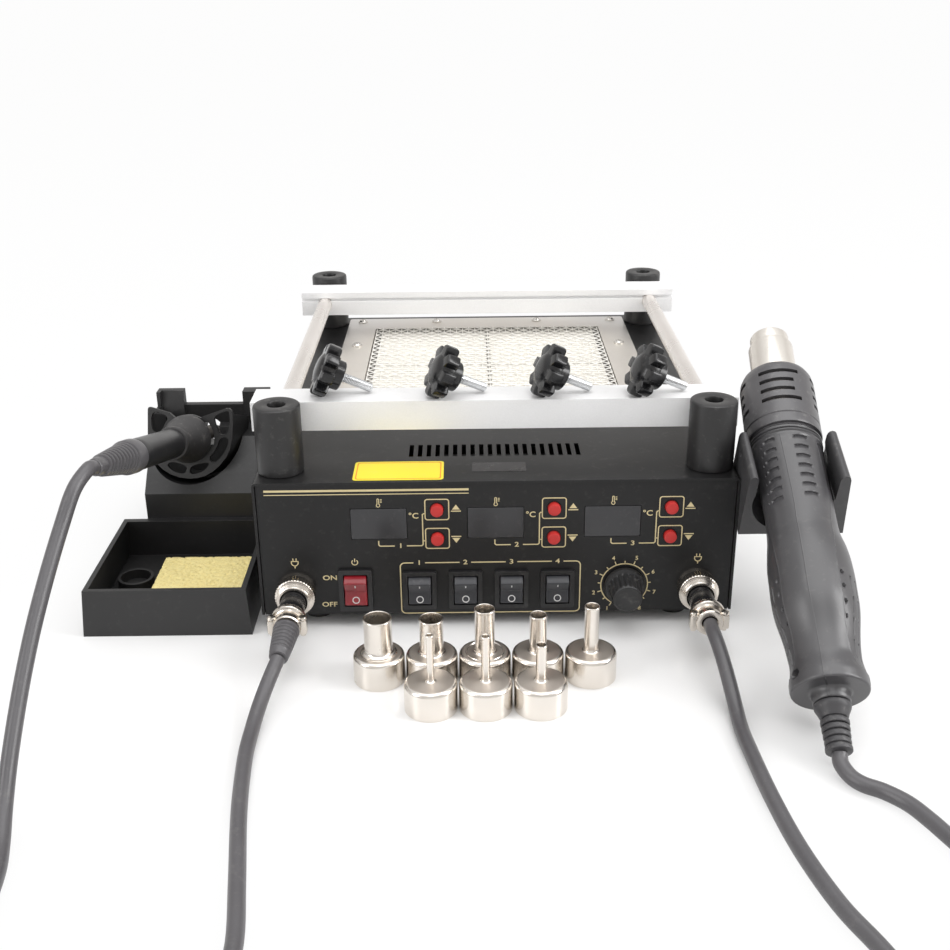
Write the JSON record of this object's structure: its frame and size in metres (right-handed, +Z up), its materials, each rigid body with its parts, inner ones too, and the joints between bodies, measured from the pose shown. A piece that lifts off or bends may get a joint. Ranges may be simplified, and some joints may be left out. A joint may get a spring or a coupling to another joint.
{
  "type": "soldering and rework station",
  "caption": "Bench rework station: preheater with sliding board rails, soldering iron on a stand with sponge tray, hot air gun in a cradle, loose nozzles and plugged leads.",
  "frame": {"origin": "on the bench under the middle of the whole set, measured without its free leads", "axes": "X is to the right as the panel is read, Y is to the back, Z is up"},
  "size_m": [0.3883, 0.5435, 0.1217],
  "materials": {
    "black_paint": "satin black powder coat",
    "feet_rubber": "matt black rubber",
    "plate_steel": "satin stainless",
    "mesh_wire": "bright drawn wire",
    "heater_ceramic": "matt fired ceramic",
    "screw_steel": "bright nickel",
    "post_plastic": "matt black",
    "rod_steel": "ground bar",
    "rail_aluminium": "fine sand blast, anodised",
    "knob_plastic": "moulded black",
    "red_rocker": "clear red",
    "rocker_plastic": "satin black",
    "switch_plastic": "matt black",
    "button_red": "moulded red",
    "window_plastic": "dark smoked",
    "board_plastic": "green laminate",
    "dial_plastic": "satin black",
    "plug_nickel": "nickel plate",
    "plug_plastic": "moulded black",
    "core_steel": "varnished steel",
    "stand_plastic": "fine textured black",
    "sponge_cellulose": "open cells",
    "grip_rubber": "matt black rubber",
    "handle_plastic": "satin black",
    "barrel_steel": "stainless",
    "gun_plastic": "dark grey, fine grain",
    "nozzle_nickel": "nickel plate",
    "lead_rubber": "smooth black"
  },
  "bodies": {
    "station": {"chassis": "black_paint", "top_cover": "black_paint", "rubber_feet": "feet_rubber", "heater_plate": "plate_steel", "wire_mesh": "mesh_wire", "ceramic_heater": "heater_ceramic", "plate_screws": "screw_steel", "corner_posts": "post_plastic", "guide_rods": "rod_steel", "switch_bodies": "switch_plastic", "display_windows": "window_plastic", "control_board": "board_plastic", "panel_sockets": "plug_nickel", "plug_bodies": "plug_plastic", "transformer": "core_steel", "mains_inlet": "switch_plastic", "stand_base": "stand_plastic", "stand_funnel": "stand_plastic", "gun_holder": "stand_plastic", "iron_lead_lower": "lead_rubber", "gun_lead_lower": "lead_rubber", "lead_coils": "lead_rubber"},
    "front_clamp": {"front_rail": "rail_aluminium", "clamp_knobs": "knob_plastic"},
    "back_clamp": {"back_rail": "rail_aluminium"},
    "power_switch": {"power_rocker": "red_rocker"},
    "switch_1": {"rocker_1": "rocker_plastic"},
    "switch_2": {"rocker_2": "rocker_plastic"},
    "switch_3": {"rocker_3": "rocker_plastic"},
    "switch_4": {"rocker_4": "rocker_plastic"},
    "button_1": {"temp_button_1": "button_red"},
    "button_2": {"temp_button_2": "button_red"},
    "button_3": {"temp_button_3": "button_red"},
    "button_4": {"temp_button_4": "button_red"},
    "button_5": {"temp_button_5": "button_red"},
    "button_6": {"temp_button_6": "button_red"},
    "dial": {"dial_knob": "dial_plastic"},
    "left_ring": {"left_coupling_ring": "plug_nickel"},
    "right_ring": {"right_coupling_ring": "plug_nickel"},
    "iron": {"iron_grip": "grip_rubber", "iron_handle": "handle_plastic", "iron_barrel": "barrel_steel", "iron_boot": "grip_rubber", "iron_lead_upper": "lead_rubber"},
    "pad": {"sponge": "sponge_cellulose"},
    "gun": {"gun_shell": "gun_plastic", "gun_collar": "gun_plastic", "gun_tube": "barrel_steel", "gun_motor": "core_steel", "gun_boot": "grip_rubber", "gun_lead_upper": "lead_rubber"},
    "fan": {"gun_fan": "switch_plastic"},
    "loose_nozzle_1": {"nozzle_1": "nozzle_nickel"},
    "loose_nozzle_2": {"nozzle_2": "nozzle_nickel"},
    "loose_nozzle_3": {"nozzle_3": "nozzle_nickel"},
    "loose_nozzle_4": {"nozzle_4": "nozzle_nickel"},
    "loose_nozzle_5": {"nozzle_5": "nozzle_nickel"},
    "loose_nozzle_6": {"nozzle_6": "nozzle_nickel"},
    "loose_nozzle_7": {"nozzle_7": "nozzle_nickel"},
    "loose_nozzle_8": {"nozzle_8": "nozzle_nickel"}
  },
  "joints": [
    {"name": "front_rail_slide", "type": "slide", "parent": "station", "child": "front_clamp", "axis": [0, 1, 0], "range_m": [0, 0.08]},
    {"name": "back_rail_slide", "type": "slide", "parent": "station", "child": "back_clamp", "axis": [0, -1, 0], "range_m": [0, 0.08]},
    {"name": "power_rock", "type": "hinge", "parent": "station", "child": "power_switch", "pos_m": [-0.04605, -0.073, 0.019], "axis": [1, 0, 0], "range_deg": [-22, 0]},
    {"name": "rock_1", "type": "hinge", "parent": "station", "child": "switch_1", "pos_m": [-0.0174, -0.073, 0.0186], "axis": [1, 0, 0], "range_deg": [-22, 0]},
    {"name": "rock_2", "type": "hinge", "parent": "station", "child": "switch_2", "pos_m": [0.00315, -0.073, 0.0186], "axis": [1, 0, 0], "range_deg": [-22, 0]},
    {"name": "rock_3", "type": "hinge", "parent": "station", "child": "switch_3", "pos_m": [0.0237, -0.073, 0.0186], "axis": [1, 0, 0], "range_deg": [-22, 0]},
    {"name": "rock_4", "type": "hinge", "parent": "station", "child": "switch_4", "pos_m": [0.04425, -0.073, 0.0186], "axis": [1, 0, 0], "range_deg": [-22, 0]},
    {"name": "press_1", "type": "slide", "parent": "station", "child": "button_1", "axis": [0, 1, 0], "range_m": [0, 0.0008], "stiffness_N_per_m": 600},
    {"name": "press_2", "type": "slide", "parent": "station", "child": "button_2", "axis": [0, 1, 0], "range_m": [0, 0.0008], "stiffness_N_per_m": 600},
    {"name": "press_3", "type": "slide", "parent": "station", "child": "button_3", "axis": [0, 1, 0], "range_m": [0, 0.0008], "stiffness_N_per_m": 600},
    {"name": "press_4", "type": "slide", "parent": "station", "child": "button_4", "axis": [0, 1, 0], "range_m": [0, 0.0008], "stiffness_N_per_m": 600},
    {"name": "press_5", "type": "slide", "parent": "station", "child": "button_5", "axis": [0, 1, 0], "range_m": [0, 0.0008], "stiffness_N_per_m": 600},
    {"name": "press_6", "type": "slide", "parent": "station", "child": "button_6", "axis": [0, 1, 0], "range_m": [0, 0.0008], "stiffness_N_per_m": 600},
    {"name": "dial_turn", "type": "hinge", "parent": "station", "child": "dial", "pos_m": [0.0743, -0.0736, 0.0197], "axis": [0, -1, 0], "range_deg": [0, 280]},
    {"name": "left_ring_turn", "type": "hinge", "parent": "station", "child": "left_ring", "pos_m": [-0.0727, -0.0796, 0.019], "axis": [0, -1, 0], "range_deg": [-360, 0]},
    {"name": "right_ring_turn", "type": "hinge", "parent": "station", "child": "right_ring", "pos_m": [0.1067, -0.0796, 0.019], "axis": [0, -1, 0], "range_deg": [-360, 0]},
    {"name": "iron_draw", "type": "slide", "parent": "station", "child": "iron", "axis": [-0.1, -0.9571, 0.272], "range_m": [0, 0.08]},
    {"name": "pad_lift", "type": "slide", "parent": "station", "child": "pad", "axis": [0, 0, 1], "range_m": [0, 0.035]},
    {"name": "gun_lift", "type": "slide", "parent": "station", "child": "gun", "axis": [-0.0277, -0.4966, 0.8675], "range_m": [0, 0.06]},
    {"name": "fan_spin", "type": "hinge", "parent": "gun", "child": "fan", "pos_m": [0.14376, -0.14, 0.03194], "axis": [0.0484, 0.8662, 0.4973], "continuous": true},
    {"name": "nozzle_lift_1", "type": "slide", "parent": "station", "child": "loose_nozzle_1", "axis": [0, 0, 1], "range_m": [0, 0.05]},
    {"name": "nozzle_lift_2", "type": "slide", "parent": "station", "child": "loose_nozzle_2", "axis": [0, 0, 1], "range_m": [0, 0.05]},
    {"name": "nozzle_lift_3", "type": "slide", "parent": "station", "child": "loose_nozzle_3", "axis": [0, 0, 1], "range_m": [0, 0.05]},
    {"name": "nozzle_lift_4", "type": "slide", "parent": "station", "child": "loose_nozzle_4", "axis": [0, 0, 1], "range_m": [0, 0.05]},
    {"name": "nozzle_lift_5", "type": "slide", "parent": "station", "child": "loose_nozzle_5", "axis": [0, 0, 1], "range_m": [0, 0.05]},
    {"name": "nozzle_lift_6", "type": "slide", "parent": "station", "child": "loose_nozzle_6", "axis": [0, 0, 1], "range_m": [0, 0.05]},
    {"name": "nozzle_lift_7", "type": "slide", "parent": "station", "child": "loose_nozzle_7", "axis": [0, 0, 1], "range_m": [0, 0.05]},
    {"name": "nozzle_lift_8", "type": "slide", "parent": "station", "child": "loose_nozzle_8", "axis": [0, 0, 1], "range_m": [0, 0.05]}
  ]
}
